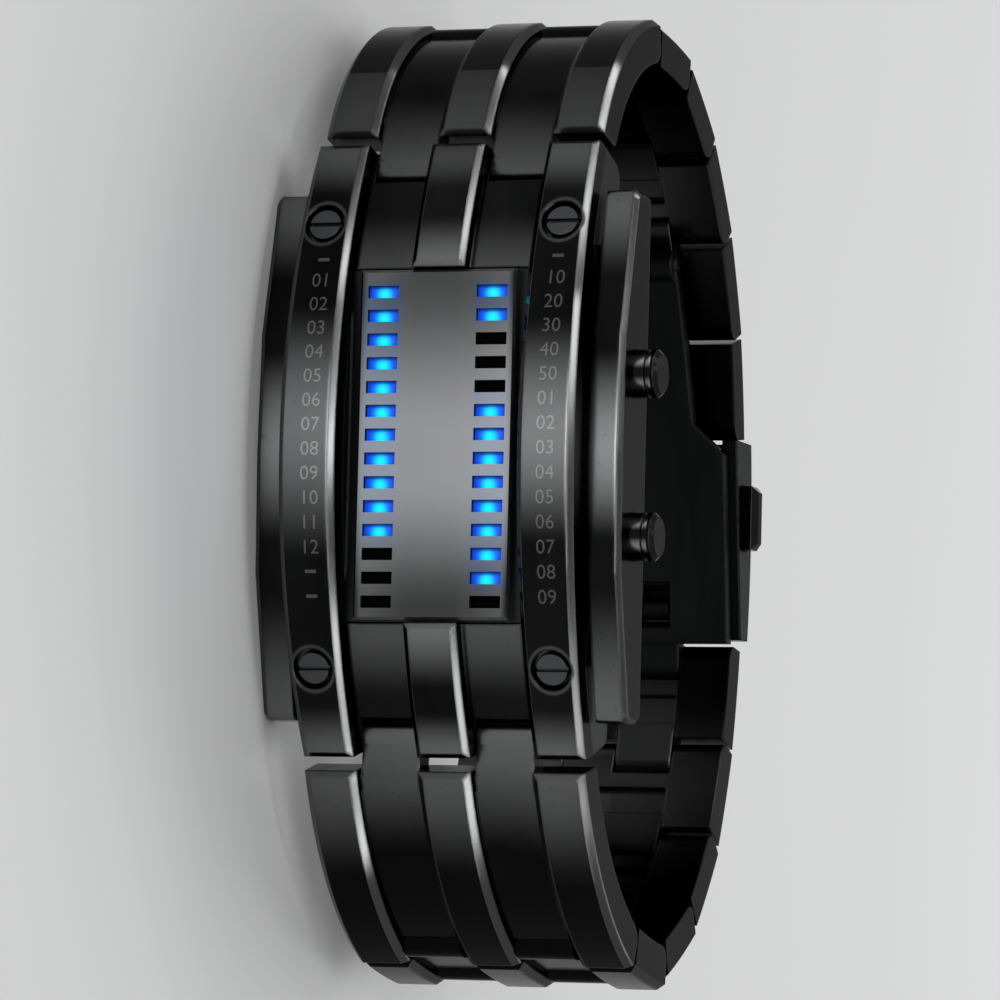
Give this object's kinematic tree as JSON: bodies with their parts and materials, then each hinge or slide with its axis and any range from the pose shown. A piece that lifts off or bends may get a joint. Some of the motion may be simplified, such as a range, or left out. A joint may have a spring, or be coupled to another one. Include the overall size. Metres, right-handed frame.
{
  "type": "binary watch",
  "caption": "Binary wristwatch with an arched black steel case, a mirror display with columns of lit windows, side push-buttons and a folding-clasp bracelet",
  "frame": {"origin": "Middle of the left guard's outer face, level with the axes of the two push-buttons; the watch lies on this face.", "axes": "+X along the strap from the dial's middle to its lower half, +Y from the dial to the wrist, +Z across the strap to the push-button side."},
  "size_m": [0.0713, 0.0473, 0.0294],
  "materials": {
    "black_steel": "glossy black coating with polished bevels",
    "plain_steel": "fine brushed",
    "screw_steel": "polished dark steel",
    "display_mirror": "grey mirror glass",
    "black_plastic": "matt",
    "light": "blue light-emitting lens",
    "board": "printed board",
    "cell": "satin",
    "seal": "matt",
    "contact": "satin"
  },
  "bodies": {
    "head": {"case_body": "black_steel", "right_rail": "black_steel", "left_rail": "black_steel", "rail_screws": "screw_steel", "upper_end_piece": "black_steel", "lower_end_piece": "black_steel", "right_guard": "black_steel", "left_guard": "black_steel", "display_glass": "display_mirror", "display_mask": "black_plastic", "hour_leds": "light", "minute_leds": "light", "circuit_board": "board", "battery": "cell", "caseback": "plain_steel", "caseback_gasket": "seal", "caseback_screws": "screw_steel", "button_contacts": "contact", "upper_button_spring": "plain_steel", "lower_button_spring": "plain_steel"},
    "upper_button": {"upper_button": "black_steel", "upper_button_clip": "plain_steel"},
    "lower_button": {"lower_button": "black_steel", "lower_button_clip": "plain_steel"},
    "upper_link_1": {"upper_link_1": "black_steel", "upper_pin_1": "plain_steel", "upper_spring_bars": "plain_steel"},
    "upper_link_2": {"upper_link_2": "black_steel", "upper_pin_2": "plain_steel"},
    "upper_link_3": {"upper_link_3": "black_steel", "upper_pin_3": "plain_steel"},
    "upper_link_4": {"upper_link_4": "black_steel", "upper_pin_4": "plain_steel"},
    "upper_link_5": {"upper_link_5": "black_steel", "upper_pin_5": "plain_steel"},
    "upper_link_6": {"upper_link_6": "black_steel", "upper_pin_6": "plain_steel"},
    "lower_link_1": {"lower_link_1": "black_steel", "lower_pin_1": "plain_steel", "lower_spring_bars": "plain_steel"},
    "lower_link_2": {"lower_link_2": "black_steel", "lower_pin_2": "plain_steel"},
    "lower_link_3": {"lower_link_3": "black_steel", "lower_pin_3": "plain_steel"},
    "lower_link_4": {"lower_link_4": "black_steel", "lower_pin_4": "plain_steel"},
    "lower_link_5": {"lower_link_5": "black_steel", "lower_pin_5": "plain_steel"},
    "lower_link_6": {"lower_link_6": "black_steel", "lower_pin_6": "plain_steel"},
    "clasp_cover": {"clasp_cover": "black_steel", "clasp_near_pin": "plain_steel", "clasp_springs": "contact"},
    "clasp_middle_blade": {"clasp_middle_blade": "plain_steel", "clasp_far_pin": "plain_steel"},
    "clasp_inner_blade": {"clasp_inner_blade": "plain_steel"},
    "clasp_right_button": {"clasp_right_button": "black_steel"},
    "clasp_left_button": {"clasp_left_button": "black_steel"}
  },
  "joints": [
    {"name": "upper_lug_hinge", "type": "hinge", "parent": "head", "child": "upper_link_1", "pos_m": [-0.0203, 0.0022, 0.0137], "axis": [0, 0, 1], "range_deg": [0, 12]},
    {"name": "upper_hinge_1", "type": "hinge", "parent": "upper_link_1", "child": "upper_link_2", "pos_m": [-0.03126, 0.0136, 0.0137], "axis": [0, 0, 1], "range_deg": [0, 18]},
    {"name": "upper_hinge_2", "type": "hinge", "parent": "upper_link_2", "child": "upper_link_3", "pos_m": [-0.03046, 0.02145, 0.0137], "axis": [0, 0, 1], "range_deg": [0, 22]},
    {"name": "upper_hinge_3", "type": "hinge", "parent": "upper_link_3", "child": "upper_link_4", "pos_m": [-0.02633, 0.02819, 0.0137], "axis": [0, 0, 1], "range_deg": [0, 14]},
    {"name": "upper_hinge_4", "type": "hinge", "parent": "upper_link_4", "child": "upper_link_5", "pos_m": [-0.0204, 0.03342, 0.0137], "axis": [0, 0, 1], "range_deg": [0, 12]},
    {"name": "upper_hinge_5", "type": "hinge", "parent": "upper_link_5", "child": "upper_link_6", "pos_m": [-0.01332, 0.0369, 0.0137], "axis": [0, 0, 1], "range_deg": [0, 10]},
    {"name": "upper_clasp_hinge", "type": "hinge", "parent": "upper_link_6", "child": "clasp_cover", "pos_m": [-0.0056, 0.0386, 0.0137], "axis": [0, 0, 1], "range_deg": [0, 13]},
    {"name": "clasp_fold", "type": "hinge", "parent": "clasp_cover", "child": "clasp_middle_blade", "pos_m": [0.0089, 0.0382, 0.0137], "axis": [0, 0, 1], "range_deg": [0, 170]},
    {"name": "clasp_far_hinge", "type": "hinge", "parent": "clasp_middle_blade", "child": "clasp_inner_blade", "pos_m": [-0.01705, 0.03178, 0.0137], "axis": [0, 0, 1], "range_deg": [-170, 0]},
    {"name": "lower_clasp_hinge", "type": "hinge", "parent": "clasp_inner_blade", "child": "lower_link_6", "pos_m": [0.0131, 0.0386, 0.0137], "axis": [0, 0, 1], "range_deg": [0, 14]},
    {"name": "lower_hinge_5", "type": "hinge", "parent": "lower_link_6", "child": "lower_link_5", "pos_m": [0.02079, 0.0368, 0.0137], "axis": [0, 0, 1], "range_deg": [0, 10]},
    {"name": "lower_hinge_4", "type": "hinge", "parent": "lower_link_5", "child": "lower_link_4", "pos_m": [0.02788, 0.03331, 0.0137], "axis": [0, 0, 1], "range_deg": [0, 16]},
    {"name": "lower_hinge_3", "type": "hinge", "parent": "lower_link_4", "child": "lower_link_3", "pos_m": [0.03337, 0.02763, 0.0137], "axis": [0, 0, 1], "range_deg": [0, 18]},
    {"name": "lower_hinge_2", "type": "hinge", "parent": "lower_link_3", "child": "lower_link_2", "pos_m": [0.03637, 0.02032, 0.0137], "axis": [0, 0, 1], "range_deg": [0, 31]},
    {"name": "lower_hinge_1", "type": "hinge", "parent": "lower_link_2", "child": "lower_link_1", "pos_m": [0.03476, 0.01258, 0.0137], "axis": [0, 0, 1], "range_deg": [0, 16]},
    {"name": "upper_button_press", "type": "slide", "parent": "head", "child": "upper_button", "axis": [0, 0, -1], "range_m": [0, 0.0007], "stiffness_N_per_m": 400, "deforming": ["upper_button_spring"]},
    {"name": "lower_button_press", "type": "slide", "parent": "head", "child": "lower_button", "axis": [0, 0, -1], "range_m": [0, 0.0007], "stiffness_N_per_m": 400, "deforming": ["lower_button_spring"]},
    {"name": "clasp_right_press", "type": "slide", "parent": "clasp_cover", "child": "clasp_right_button", "axis": [0, 0, -1], "range_m": [0, 0.0006], "stiffness_N_per_m": 400},
    {"name": "clasp_left_press", "type": "slide", "parent": "clasp_cover", "child": "clasp_left_button", "axis": [0, 0, 1], "range_m": [0, 0.0006], "stiffness_N_per_m": 400}
  ],
  "couplings": [
    {"joint": "clasp_far_hinge", "follows": "clasp_fold", "ratio": -1}
  ]
}
